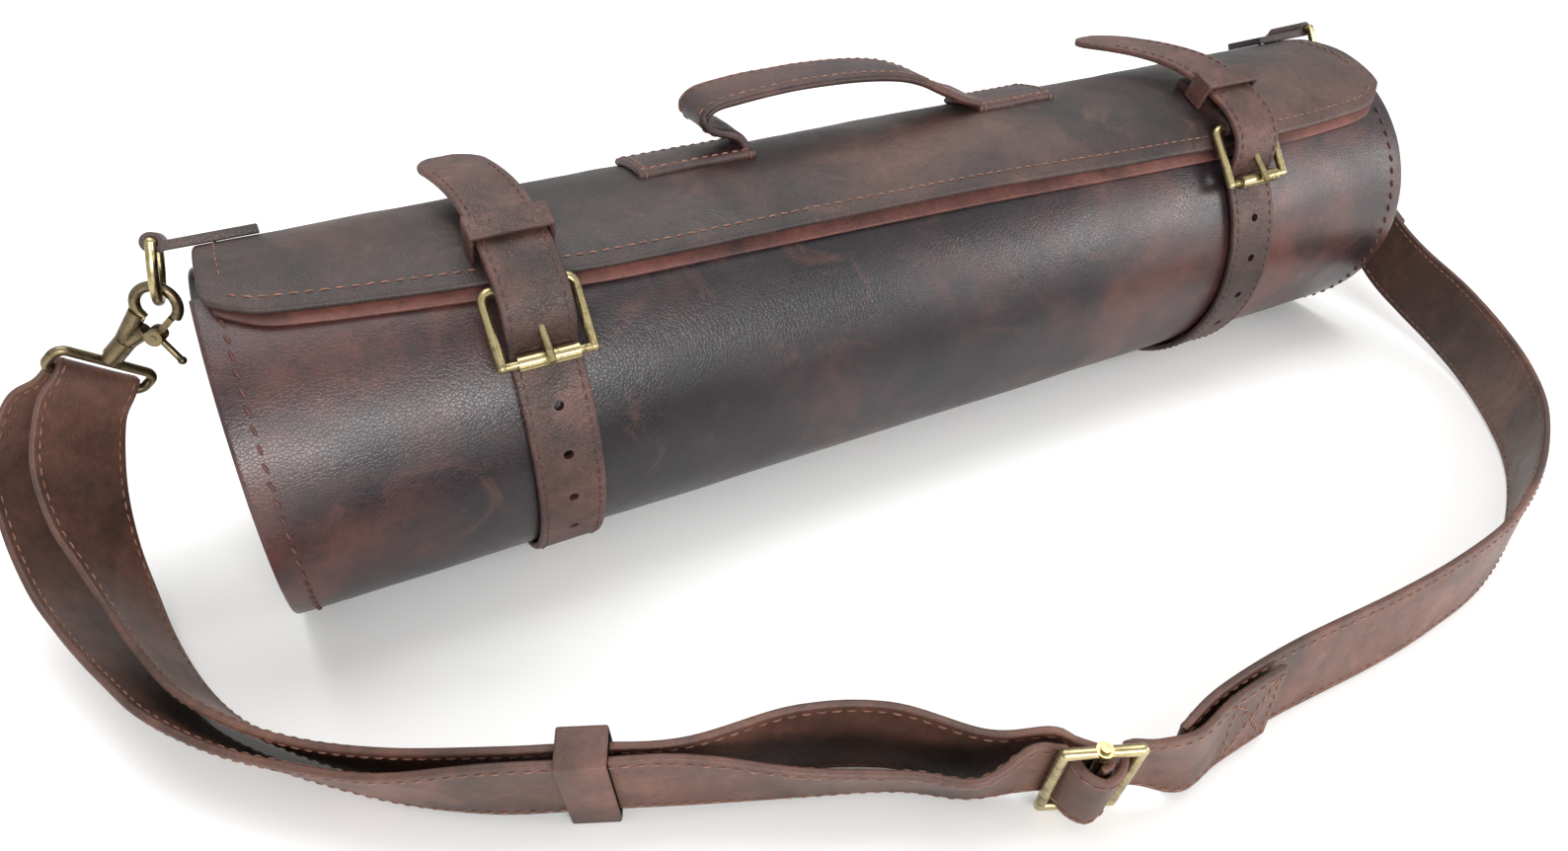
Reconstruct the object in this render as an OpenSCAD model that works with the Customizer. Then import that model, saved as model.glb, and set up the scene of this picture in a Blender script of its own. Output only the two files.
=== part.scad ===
// Rolled leather brush case, lying buckled on a flat surface with its shoulder strap looped in front.
// The roll lies along X; the strap loop is on the -Y side; the case rests on Z = 0.

/* [Roll] */
// length of the rolled case along X
roll_length = 450; // [300:10:600]
// outer radius of the roll at its covered front edge
roll_radius = 58.4; // [40:0.5:80]
// height of the roll's centre line over the table, a little under its radius because the roll sags flat
axis_height = 55; // [40:0.5:80]
// thickness of the outer hide
hide_thickness = 2.8; // [1.5:0.1:4]
// thickness of the lining and of the end facings
lining_thickness = 1; // [0.5:0.1:2]
// turns of hide in the roll
roll_turns = 1.75; // [1.1:0.05:2.5]

/* [Flap] */
// thickness of the flap leather
flap_thickness = 2.4; // [1.5:0.1:4]
// thickness of the facing strip under the flap's front edge
facing_thickness = 1.2; // [0.8:0.1:2]
// length of the flap along X
flap_length = 444; // [290:2:600]

/* [Closures] */
// centre of the left closure along X
left_closure_x = -140; // [-180:1:-80]
// centre of the right closure along X
right_closure_x = 136; // [80:1:180]
// width of a closure strap
closure_width = 21; // [15:1:30]
// thickness of a closure strap
closure_thickness = 2.4; // [1.5:0.1:3]
// radius of the punched holes
punch_radius = 1.4; // [1:0.1:2.5]
// radius of the buckle's hinge bar and side bars
buckle_bar_radius = 1.6; // [1:0.1:2.5]
// radial clearance of each metal part that turns on a bar
turning_clearance = 0.08; // [0.02:0.01:0.1]

/* [Handle] */
// width of the carrying handle across the roll
handle_width = 22; // [15:1:35]
// thickness of the handle strap
handle_thickness = 3; // [2:0.1:5]

/* [Shoulder strap] */
// thickness of the shoulder strap
strap_thickness = 2.2; // [1.5:0.1:3.5]
// length of the sliding leather keeper
strap_keeper_length = 13; // [8:1:20]

/* [Metal] */
// radius of the ring wire
ring_wire_radius = 1.5; // [1:0.1:2.5]
// inner width of the tab rings
ring_width = 19; // [14:1:30]

/* [Hidden] */
$fn = 48;
pitch = hide_thickness + lining_thickness + 0.6;
edge_phi = 75;
last_phi = edge_phi - 360 * roll_turns;
half = roll_length / 2;
flap_half = flap_length / 2;
closure_xs = [left_closure_x, right_closure_x];
step = 6;
lining_low = closure_thickness + hide_thickness + 0.6;
inner_low = lining_low + lining_thickness + 0.4;
inner_lining_low = inner_low + hide_thickness + 0.3;

hide_brown = [0.20, 0.11, 0.09];
strap_brown = [0.27, 0.15, 0.11];
dark_brown = [0.15, 0.09, 0.07];
lining_tan = [0.33, 0.22, 0.16];
brass = [0.62, 0.54, 0.33];
bronze = [0.33, 0.28, 0.20];
steel = [0.6, 0.6, 0.6];

// Winding angle phi: 0 faces the viewer (-Y), 90 is the top, 180 the back, -90 the bottom.
function rad(phi, inset) = roll_radius - pitch * (edge_phi - phi) / 360 - inset;
function at(r, phi, low) = [-r * cos(phi), max(low, axis_height + r * sin(phi))];
function angles(a, b, s) = [for (i = [0 : ceil(abs(b - a) / s)]) a + (b - a) * i / ceil(abs(b - a) / s)];

// A band of the rolled sheet between two insets and two winding angles, drawn in the Y-Z plane.
// low is the flat's height in the outer turn, low2 in the turn inside it.
module roll_section(inset, t, a, b, low, low2) {
    outer = [for (p = angles(a, b, step)) at(rad(p, inset), p, p > -270 ? low : low2)];
    inner = [for (p = angles(b, a, step)) at(rad(p, inset + t), p, (p > -270 ? low : low2) + t)];
    polygon(concat(outer, inner));
}

// A band whose inner radius follows [phi, radius] stations.
module strip_section(stations, t, low) {
    n = len(stations);
    inner = [for (s = stations) at(s[1], s[0], low + t)];
    outer = [for (i = [n - 1 : -1 : 0]) at(stations[i][1] + t, stations[i][0], low)];
    polygon(concat(inner, outer));
}

module along_x(x0, x1) {
    translate([x0, 0, 0]) rotate([90, 0, 90]) linear_extrude(x1 - x0) children();
}

// Local frame on the roll: X along the roll, Y round it with rising phi, Z outward.
module on_roll(x, r, phi) {
    translate([x, -r * cos(phi), axis_height + r * sin(phi)]) rotate([90 - phi, 0, 0]) children();
}

// Lifts to the inner faces of the flap: it rests on the roll at the back and on its facing in front.
function flap_r(phi) = phi >= 150 ? rad(phi - 360, 0) + 0.25
    : phi > 56 ? rad(150 - 360, 0) + 0.25 + (150 - phi) * 0.0493 : rad(phi, 0) + facing_thickness + 0.45;
flap_inner = [for (p = concat(angles(150, 60, 5), [56], angles(53, 44, 3))) [p, flap_r(p)]];

// ---------------------------------------------------------------- roll
module outer_wrap() {
    color(hide_brown) union() {
        difference() {
            along_x(-half, half) roll_section(0, hide_thickness, edge_phi, last_phi, 0, inner_low);
            for (x = closure_xs) {
                translate([x - closure_width / 2 - 0.6, -30, -1])
                    cube([closure_width + 1.2, 60, 1 + closure_thickness + 0.3]);
                for (y = [-30, 20.4])
                    translate([x - closure_width / 2 - 0.6, y, -1]) cube([closure_width + 1.2, 9.6, 4.4]);
            }
        }
        for (x = closure_xs)
            translate([x - closure_width / 2 - 2.6, -20, closure_thickness + 0.3])
                cube([closure_width + 5.2, 40, hide_thickness]);
    }
}

module inner_lining() {
    color(lining_tan)
        along_x(-half + 14, half - 14)
            roll_section(hide_thickness + 0.3, lining_thickness, edge_phi - 4, last_phi, lining_low,
                inner_lining_low);
}

module end_facing(x0) {
    color(dark_brown)
        along_x(x0, x0 + 12)
            roll_section(hide_thickness + 0.3, lining_thickness, edge_phi - 4, last_phi, lining_low,
                inner_lining_low);
}

module hem_left() {
    end_facing(-half + 1);
}

module hem_right() {
    end_facing(half - 13);
}

// ---------------------------------------------------------------- flap
// Front edge of the flap in plan: [x, phi] along its length, with rounded corners.
flap_edge = [[-222, 76], [-221, 69], [-217, 64], [-210, 61.5], [-190, 59], [-155, 55.5], [-114, 52.5], [-55, 51.3],
             [20, 49.5], [80, 47], [125, 45.6], [175, 46], [205, 47.5], [216, 50.5], [220, 56], [222, 64]];
module flap_outline(shift) {
    front = [for (e = flap_edge) [e[0] * flap_half / 222, -61 * cos(e[1] - shift)]];
    polygon(concat(front, [[flap_half, 60], [-flap_half, 60]]));
}

module flap() {
    color(hide_brown) intersection() {
        along_x(-flap_half, flap_half) strip_section(flap_inner, flap_thickness, 0);
        translate([0, 0, 60]) linear_extrude(80) flap_outline(0);
    }
}

module flap_facing() {
    facing = [for (p = angles(57, 42, 5)) [p, rad(p, 0) + 0.2]];
    color(strap_brown) intersection() {
        along_x(-flap_half + 1.5, flap_half - 1.5) strip_section(facing, facing_thickness, 0);
        translate([0, 0, 60]) linear_extrude(80) flap_outline(3);
    }
}

// ---------------------------------------------------------------- closures
hinge_phi = 51;
hinge_r = 65.6;
roller_phi = 32;
roller_r = 63.9;
roller_outer = 2.5;
roller_bar = 1.3;
pin_spot = [-hinge_r * cos(hinge_phi), axis_height + hinge_r * sin(hinge_phi)];
roller_spot = [-roller_r * cos(roller_phi), axis_height + roller_r * sin(roller_phi)];
frame_length = norm(pin_spot - roller_spot);
frame_tilt = atan2(pin_spot[1] - roller_spot[1], pin_spot[0] - roller_spot[0]);
frame_outer = closure_width + 9;

// Inner face of a closure strap from its sewn end at the back, under the roll, up through the buckle to its tip.
strap_under = [for (p = angles(-195, 24, 6)) [p, rad(p, 0) + 0.3]];
strap_over = [[27, 58.0], [31, 58.2], [34, 58.7], [36, 60.0], [38, 62.2], [40.5, 65], [43.5, 67.6], [47, 69.2],
              [51, 69.7], [56, 69.4], [62, 68.4], [68, 68.2], [75, 68], [82, 67.6], [90, 67.2], [97, 67.2],
              [103, 67.6], [109, 68.6]];
strap_path = concat(strap_under, strap_over);

module closure_strap(x, skew) {
    color(strap_brown) difference() {
        along_x(x - closure_width / 2, x + closure_width / 2) strip_section(strap_path, closure_thickness, 0);
        for (p = [19, 3, -13, -29]) on_roll(x, 58, p) cylinder(h = 12, r = punch_radius, center = true);
        on_roll(x, 62, 37.3) rotate([-58, 0, 0]) translate([0, 0, 2.2]) cube([4, 7.4, 14.4], center = true);
        // rounded tip
        translate([x, 24.5 - closure_width / 2, 90]) difference() {
            translate([-20, 0, 0]) cube([40, 40, 60]);
            translate([0, 0, -1]) cylinder(h = 62, r = closure_width / 2 + 0.01);
        }
    }
}

module closure_strap_left() {
    closure_strap(left_closure_x, 0);
}

module closure_strap_right() {
    closure_strap(right_closure_x, 0);
}

// The leather that holds the buckle: folded round the hinge bar and sewn flat on the flap.
module chape(x) {
    fold_out = buckle_bar_radius + 0.15 + 1.5;
    w = closure_width - 2;
    tail = [for (p = angles(76, 55, 3)) [p, flap_r(p) + flap_thickness + 0.1]];
    color(dark_brown) difference() {
        union() {
            along_x(x - w / 2, x + w / 2) strip_section(tail, 3.2, 0);
            translate([x - w / 2, pin_spot[0], pin_spot[1]]) rotate([0, 90, 0]) cylinder(h = w, r = fold_out);
            along_x(x - w / 2, x + w / 2)
                polygon([at(hinge_r - 3.1, 52, 0), at(hinge_r + 3.1, 52.5, 0), at(66.3, 58, 0), at(62.4, 58, 0)]);
        }
        translate([x - w, pin_spot[0], pin_spot[1]]) rotate([0, 90, 0])
            cylinder(h = 2 * w, r = buckle_bar_radius + 0.15);
        // slot for the prong
        on_roll(x, hinge_r, hinge_phi) translate([-2.9, -9, -8]) cube([5.8, 12.6, 16]);
    }
}

module buckle_chape_left() {
    chape(left_closure_x);
}

module buckle_chape_right() {
    chape(right_closure_x);
}

// Buckle frame: local X along the bars, local Y from the roller up to the hinge bar.
module in_buckle(x) {
    translate([x, roller_spot[0], roller_spot[1]]) rotate([frame_tilt, 0, 0]) children();
}

module rod(a, b, r) {
    d = b - a;
    len_d = norm(d);
    translate(a) rotate([0, acos(d[2] / len_d), atan2(d[1], d[0])]) cylinder(h = len_d, r = r);
}

module buckle_frame(x) {
    e = frame_outer / 2 - buckle_bar_radius;
    c = 3;
    color(brass) in_buckle(x) {
        rod([-e + c, frame_length, 0], [e - c, frame_length, 0], buckle_bar_radius);
        rod([-e, 0, 0], [e, 0, 0], roller_bar);
        for (s = [-1, 1]) {
            rod([s * e, 0, 0], [s * e, frame_length - c, 0], buckle_bar_radius);
            translate([s * (e - c), frame_length - c, 0]) rotate([0, 0, s > 0 ? 0 : 90])
                rotate_extrude(angle = 90) translate([c, 0]) circle(buckle_bar_radius);
            translate([s * e, 0, 0]) sphere(buckle_bar_radius);
        }
    }
}

module buckle_frame_left() {
    buckle_frame(left_closure_x);
}

module buckle_frame_right() {
    buckle_frame(right_closure_x);
}

module buckle_roller(x) {
    color(brass) in_buckle(x) rotate([0, 90, 0]) difference() {
        cylinder(h = 18, r = roller_outer, center = true);
        cylinder(h = 20, r = roller_bar + turning_clearance, center = true);
    }
}

module buckle_roller_left() {
    buckle_roller(left_closure_x);
}

module buckle_roller_right() {
    buckle_roller(right_closure_x);
}

// The prong turns on the hinge bar, passes up through the strap and rests on the roller.
module buckle_prong(x) {
    color(brass) in_buckle(x) difference() {
        union() {
            translate([0, frame_length, 0]) rotate([0, 90, 0]) cylinder(h = 4.4, r = 2.9, center = true);
            rod([0, frame_length - 1.2, 0.2], [0, -2.2, roller_outer + 1.75], 1.2);
        }
        translate([0, frame_length, 0]) rotate([0, 90, 0])
            cylinder(h = 8, r = buckle_bar_radius + turning_clearance, center = true);
    }
}

module buckle_prong_left() {
    buckle_prong(left_closure_x);
}

module buckle_prong_right() {
    buckle_prong(right_closure_x);
}

// Fixed keeper: a leather arch over the strap, sewn down beside the chape.
module keeper(x) {
    inner = closure_width / 2 + 0.4;
    color(strap_brown) on_roll(x, 0, 65.5) translate([0, -4.5, 0]) difference() {
        translate([-inner - 1.6, 0, 62.4]) cube([2 * inner + 3.2, 9, 11]);
        translate([-inner, -1, 50]) cube([2 * inner, 11, 21.6]);
    }
}

module keeper_loop_left() {
    keeper(left_closure_x);
}

module keeper_loop_right() {
    keeper(right_closure_x);
}

// ---------------------------------------------------------------- handle
// Centre line of the arched grip in the X-Z plane.
handle_line = [[-52.5, 117.2], [-54.5, 121.4], [-57.5, 123.4], [-62, 124.8], [-66, 127.4], [-67, 131], [-63, 134],
               [-55, 135.2], [-42, 136], [-24, 136.2], [-8, 135.4], [6, 133.4], [16, 130.2], [25, 125.6],
               [34, 121.4], [42, 118.2]];
handle_y = 6;

// The stations from a to b of the handle strap.
module handle_strip(a, b) {
    n = len(handle_line);
    function dir(i) = let (d = handle_line[min(i + 1, n - 1)] - handle_line[max(i - 1, 0)]) d / norm(d);
    upper = [for (i = [a : b]) handle_line[i] + handle_thickness / 2 * [-dir(i)[1], dir(i)[0]]];
    lower = [for (i = [b : -1 : a]) handle_line[i] - handle_thickness / 2 * [-dir(i)[1], dir(i)[0]]];
    translate([0, handle_y + handle_width / 2, 0]) rotate([90, 0, 0])
        linear_extrude(handle_width) polygon(concat(upper, lower));
}

module handle_grip() {
    color(strap_brown) difference() {
        handle_strip(2, 14);
        translate([-59.7, -20, 110]) cube([20, 60, 17]);
        translate([27.7, -20, 110]) cube([20, 60, 20]);
    }
}

// Flat sewn ends of the handle, each with the short root that the grip bends from.
module handle_foot(x0, x1, a, b) {
    sole = [for (p = angles(75, 106, 4)) [p, flap_r(p) + flap_thickness + 0.1]];
    color(dark_brown) union() {
        intersection() {
            along_x(x0, x1) strip_section([for (i = [len(sole) - 1 : -1 : 0]) sole[i]], 2.6, 0);
            translate([x0, handle_y - handle_width / 2, 100]) cube([x1 - x0, handle_width, 30]);
        }
        difference() {
            handle_strip(a, b);
            translate([-80, -20, 110]) cube([20.6, 60, 30]);
            translate([-10, -20, 110]) cube([38, 60, 30]);
        }
    }
}

module handle_tab_left() {
    handle_foot(-92, -50, 0, 3);
}

module handle_tab_right() {
    handle_foot(40, 74, 12, 15);
}

// ---------------------------------------------------------------- rings and hooks
ring_phi = 112;
ring_r = 62.6;
ring_x = half + 6.5;
ring_swing = 12;
ring_leg = 6;
ring_arc = ring_width / 2 + ring_wire_radius;

module at_ring(side) {
    scale([side, 1, 1]) on_roll(ring_x, ring_r, ring_phi) children();
}

// Tab: folded round the ring's bar, sewn on the back of the flap.
module ring_tab(side) {
    w = 18;
    fold = ring_wire_radius + 0.1 + 1.4;
    base = flap_r(ring_phi) + flap_thickness + 0.35 - ring_r;
    color(dark_brown) at_ring(side) difference() {
        union() {
            translate([-28, -w / 2, base]) cube([28, w, 2.8]);
            rotate([90, 0, 0]) cylinder(h = w, r = fold, center = true);
        }
        rotate([90, 0, 0]) cylinder(h = w + 2, r = ring_wire_radius + turning_clearance, center = true);
    }
}

module ring_tab_left() {
    ring_tab(-1);
}

module ring_tab_right() {
    ring_tab(1);
}

// D-ring hanging over the roll's end, leaning outward where the hook pulls it.
module d_ring(side) {
    color(brass) at_ring(side) rotate([0, 90 - ring_swing, 0]) rotate([0, 0, 0]) {
        rod([0, -ring_arc, 0], [0, ring_arc, 0], ring_wire_radius);
        for (s = [-1, 1]) {
            rod([0, s * ring_arc, 0], [ring_leg, s * ring_arc, 0], ring_wire_radius);
            translate([0, s * ring_arc, 0]) sphere(ring_wire_radius);
        }
        translate([ring_leg, 0, 0]) rotate([0, 0, -90])
            rotate_extrude(angle = 180) translate([ring_arc, 0]) circle(ring_wire_radius);
    }
}

module d_ring_left() {
    d_ring(-1);
}

module d_ring_right() {
    d_ring(1);
}

// Snap hook frame: origin at the middle of the claw, local X towards the swivel eye.
claw_spot = [236.2, 17.6, 96.4];
hook_turn = [-84, 42, 161.5];
module at_hook(side) {
    scale([-side, 1, 1]) translate([-claw_spot[0], claw_spot[1], claw_spot[2]]) rotate(hook_turn) children();
}

claw_r = 6;
claw_wire = 1.6;
module hook_body(side) {
    color(bronze) at_hook(side) difference() {
        union() {
            // claw: three quarters of a ring, open on the gate's side
            rotate([0, 0, 95]) rotate_extrude(angle = 265) translate([claw_r, 0]) circle(claw_wire);
            // tapering body
            rod([claw_r - 0.5, -2.6, 0], [17, -0.4, 0], 2.6);
            rod([9, 2.2, 0], [17, 0.4, 0], 2.4);
            translate([8.5, 5.2, -2.6]) cylinder(h = 1.4, r = 2.6);
            translate([8.5, 5.2, 1.2]) cylinder(h = 1.4, r = 2.6);
            // barrel of the swivel
            translate([16, 0, 0]) rotate([0, 90, 0]) cylinder(h = 7, r = 3.1);
        }
        // bore for the swivel stem and slot for the gate
        translate([15, 0, 0]) rotate([0, 90, 0]) cylinder(h = 9, r = 1.5 + turning_clearance);
        translate([8.5, 5.2, -4]) cylinder(h = 8, r = 0.9);
        translate([3, 2.2, -1.2]) cube([9.4, 6.4, 2.4]);
    }
}

module hook_body_left() {
    hook_body(-1);
}

module hook_body_right() {
    hook_body(1);
}

// Spring gate: closes the claw, with a thumb lever standing out of the hook's side.
module hook_gate(side) {
    color(bronze) at_hook(side) difference() {
        union() {
            translate([8.5, 5.2, -1]) cylinder(h = 2, r = 2.1);
            translate([0.5, 4.4, -1]) cube([8, 1.9, 2]);
            rod([8.7, 6.2, 0], [10.6, 15, 0], 1);
            translate([10.6, 15, 0]) sphere(1.3);
        }
        translate([8.5, 5.2, -2]) cylinder(h = 4, r = 0.85 + turning_clearance);
    }
}

module hook_gate_left() {
    hook_gate(-1);
}

module hook_gate_right() {
    hook_gate(1);
}

module gate_pin(side) {
    color(bronze) at_hook(side) translate([8.5, 5.2, -2.9]) cylinder(h = 5.8, r = 0.85);
}

module gate_pin_left() {
    gate_pin(-1);
}

module gate_pin_right() {
    gate_pin(1);
}

// Swivel eye: a stem in the hook's barrel and a wide loop for the strap.
eye_bar_x = 34.3;
eye_half = 14.3;
eye_turn = -34;
module swivel_eye(side) {
    color(bronze) at_hook(side) rotate([eye_turn, 0, 0]) {
        rod([15.4, 0, 0], [25, 0, 0], 1.5);
        translate([23.4, 0, 0]) rotate([0, 90, 0]) cylinder(h = 1.4, r = 2.6);
        for (x = [26, eye_bar_x]) rod([x, 3 - eye_half, 0], [x, eye_half - 3, 0], 1.5);
        for (s = [-1, 1]) {
            rod([29, s * eye_half, 0], [eye_bar_x - 3, s * eye_half, 0], 1.5);
            translate([29, s * (eye_half - 3), 0]) rotate([0, 0, s > 0 ? 90 : 180])
                rotate_extrude(angle = 90) translate([3, 0]) circle(1.5);
            translate([eye_bar_x - 3, s * (eye_half - 3), 0]) rotate([0, 0, s > 0 ? 0 : -90])
                rotate_extrude(angle = 90) translate([3, 0]) circle(1.5);
        }
    }
}

module swivel_eye_left() {
    swivel_eye(-1);
}

module swivel_eye_right() {
    swivel_eye(1);
}

// ---------------------------------------------------------------- shoulder strap
// A smooth curve through stations; each station holds the strap's lower and upper edge points.
function curve(p, t) = 0.5 * (2 * p[1] + (p[2] - p[0]) * t + (2 * p[0] - 5 * p[1] + 4 * p[2] - p[3]) * t * t
    + (3 * p[1] - p[0] - 3 * p[2] + p[3]) * t * t * t);
function smooth(s, n) = let (m = len(s) - 1) concat([for (i = [0 : m - 1], k = [0 : n - 1])
    curve([s[max(i - 1, 0)], s[i], s[i + 1], s[min(i + 2, m)]], k / n)], [s[m]]);

module ribbon(stations, t, n) {
    s = smooth(stations, n);
    m = len(s);
    low = [for (p = s) [p[0], p[1], p[2]]];
    top = [for (p = s) [p[3], p[4], p[5]]];
    mid = (low + top) / 2;
    function side(i) = let (c = cross(mid[min(i + 1, m - 1)] - mid[max(i - 1, 0)], top[i] - low[i])) c / norm(c);
    points = [for (i = [0 : m - 1]) let (o = side(i) * t / 2) each [low[i] - o, low[i] + o, top[i] + o, top[i] - o]];
    walls = [for (i = [0 : m - 2], k = [0 : 3]) let (a = 4 * i + k, b = 4 * i + (k + 1) % 4)
        each [[a, b, a + 4], [b, b + 4, a + 4]]];
    e = 4 * (m - 1);
    polyhedron(points, concat(walls, [[0, 3, 2], [0, 2, 1], [e, e + 1, e + 2], [e, e + 2, e + 3]]));
}

// Slider frame on the strap: along, outward and up directions.
slider_spot = [-55.2, -198.9, 18.2];
slider_yaw = -23;
slider_lean = 16;
slider_half = 9.5;
slider_up = 16.2;
slider_along = [cos(slider_yaw), sin(slider_yaw), 0];
slider_out = [sin(slider_yaw) * cos(slider_lean), -cos(slider_yaw) * cos(slider_lean), -sin(slider_lean)];
slider_top = cross(slider_out, slider_along);
function thread(s, n, w) = let (c = slider_spot + s * slider_along + n * slider_out, h = slider_top * w / 2)
    concat(c - h, c + h);

module in_slider() {
    translate(slider_spot) rotate([0, 0, slider_yaw]) rotate([slider_lean, 0, 0]) children();
}

// Right part of the strap, from its sewn joint beside the slider to the fold through the right swivel eye.
strap_right = [[-30, -201.5, 1, -31.5, -205, 28], [-14, -199, 0.5, -14, -200, 30], [16, -197, 0.5, 16, -197, 30.5],
    [56, -197, 0.5, 56, -197, 30.5], [86, -195, 0.5, 86, -195.5, 30.5], [116, -190, 0.5, 116, -191, 30.5],
    [148, -178, 0.5, 149, -179, 30], [180, -158, 0.5, 182, -160, 30], [203, -136, 0.5, 206, -139, 30],
    [222, -111, 1, 226, -113, 31], [236, -85, 3, 241, -86, 33], [244, -60, 7, 251, -59, 36],
    [248, -42, 12, 257, -40, 41], [252, -22, 22, 264, -20, 49], [254, -3, 34, 269, -3, 60],
    [255, 14, 44, 273, 9, 67], [257, 25, 56.5, 274.5, 19, 73.5], [251.9, 25.7, 64.5, 268.9, 19.5, 80.2],
    [249.5, 27.9, 67.8, 266.5, 21.8, 83.6], [252, 31.9, 66.8, 269, 25.7, 82.5], [259.5, 29, 55, 277, 23, 72],
    [257.6, 14.6, 42.2, 275.6, 9.6, 65.2], [256.6, -2.4, 32.2, 271.6, -2.4, 58.2],
    [254.8, -21.6, 20.6, 266.8, -19.6, 47.6], [251, -41.8, 11.2, 260, -39.8, 40.2]];

module shoulder_strap_long() {
    color(strap_brown) ribbon(strap_right, strap_thickness, 3);
}

// Left part: tail beside the slider, through the slider, outer layer, round the left swivel eye, inner layer back.
strap_left = concat([[8, -200.2, 2, 8, -200.8, 29], [-12, -202.6, 1.5, -12.5, -203.8, 29],
    [-27, -206, 1.5, -29, -209, 28.5], thread(16, -2.9, 26), thread(9.5, -3.4, 26), thread(7.4, -2.8, 26),
    thread(5.9, 0.2, 26), thread(4.1, 3.7, 26), thread(0, 6.1, 26), thread(-4.1, 3.7, 26), thread(-5.9, 0.2, 26),
    thread(-7.4, -2.8, 26), thread(-9.5, -3.4, 26), thread(-16, -3.4, 27)],
    [[-78, -179, 2.2, -84, -192, 26.5], [-92, -168, 1.2, -97, -182, 25.5], [-116, -158, 1.5, -120, -170, 27],
    [-143, -148.5, 3.9, -146, -155.5, 31.6], [-165, -138.5, 3.9, -168, -145.5, 31.6],
    [-187, -128.5, 3.9, -190, -135.5, 31.6], [-206, -113.5, 1.2, -214, -123, 28], [-223, -98, 0.9, -233, -107.5, 26],
    [-238, -82, 0.9, -250, -91, 25], [-251, -64.5, 0.9, -265, -71, 25], [-261, -43.5, 0.9, -276, -48, 24],
    [-269, -21, 2, -285, -27, 25], [-275, 0, 8, -292, -8, 30], [-278, 17, 20, -295, 8, 42],
    [-276, 29, 36, -294, 21, 57], [-267, 36, 52, -285, 30, 71], [-258.3, 34.1, 60.8, -275.3, 27.9, 76.5],
    [-252, 31.9, 66.8, -269, 25.7, 82.5], [-249.5, 27.9, 67.8, -266.5, 21.8, 83.6],
    [-251.9, 25.7, 64.5, -268.9, 19.5, 80.2], [-257, 25, 56.5, -275, 17, 74], [-262, 17, 40, -281, 8, 60],
    [-264, 8, 24, -281, -2, 45], [-263, -4, 11, -277, -12, 35], [-260, -22, 3, -272, -26, 29],
    [-254, -43, 0.9, -265, -47, 27], [-245, -63, 0.9, -256, -69, 27], [-233, -79, 0.9, -243, -88, 27],
    [-219, -94, 0.9, -228, -103, 27], [-203, -109, 1.6, -209, -117.5, 28.5], [-185, -124, 3.9, -188, -131, 31.6],
    [-163, -134, 3.9, -166, -141, 31.6], [-141, -144, 3.9, -144, -151, 31.6], [-113, -150, 1.2, -114, -154, 30.5],
    [-90, -161, 0.9, -92, -164, 30], [-73, -177, 1, -75, -182, 29]],
    [thread(-10, -8, 26), thread(-5, -5.2, 26), thread(0, -2.9, 26), thread(2.1, -2.1, 26), thread(2.9, 0, 26),
    thread(1.9, 2.1, 26), thread(-0.5, 2.9, 26)]);

module shoulder_strap_adjust() {
    color(strap_brown) ribbon(strap_left, strap_thickness, 3);
}

module strap_slider_frame() {
    color(brass) in_slider() difference() {
        union() {
            for (s = [-1, 1]) {
                rod([s * slider_half, 0, -slider_up], [s * slider_half, 0, slider_up], 1.5);
                rod([-slider_half, 0, s * slider_up], [slider_half, 0, s * slider_up], 1.5);
                for (v = [-1, 1]) translate([s * slider_half, 0, v * slider_up]) sphere(1.5);
            }
            for (v = [-1, 1]) translate([0, 0, v * slider_up - 1.5]) cylinder(h = 3, r = 2.2);
        }
        translate([0, 0, -20]) cylinder(h = 40, r = 1.3);
    }
}

// Centre bar of the slider, riveted through the frame's long sides.
module strap_slider_bar() {
    color(brass) in_slider() translate([0, 0, -slider_up - 1.8]) cylinder(h = 2 * slider_up + 4.4, r = 1.25);
}

// Sliding leather keeper round both layers of the strap.
keeper_spot = [-165.5, -139.8, 18.2];
module strap_keeper() {
    color(dark_brown) translate(keeper_spot) rotate([0, 0, -24.6]) rotate([15.1, 0, 0]) difference() {
        cube([strap_keeper_length, 11.4, 34.4], center = true);
        cube([strap_keeper_length + 2, 8.4, 31.6], center = true);
    }
}

outer_wrap();
inner_lining();
hem_left();
hem_right();
flap();
flap_facing();
closure_strap_left();
closure_strap_right();
buckle_chape_left();
buckle_chape_right();
buckle_frame_left();
buckle_frame_right();
buckle_roller_left();
buckle_roller_right();
buckle_prong_left();
buckle_prong_right();
keeper_loop_left();
keeper_loop_right();
handle_grip();
handle_tab_left();
handle_tab_right();
ring_tab_left();
ring_tab_right();
d_ring_left();
d_ring_right();
hook_body_left();
hook_body_right();
hook_gate_left();
hook_gate_right();
gate_pin_left();
gate_pin_right();
swivel_eye_left();
swivel_eye_right();
shoulder_strap_long();
shoulder_strap_adjust();
strap_slider_frame();
strap_slider_bar();
strap_keeper();
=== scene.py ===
"""Looks of the rolled leather brush case: hides, straps, stitching and metal round the fixed frame."""
import math
import bmesh
import bpy
import numpy as np
from mathutils import Matrix, Vector


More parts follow.
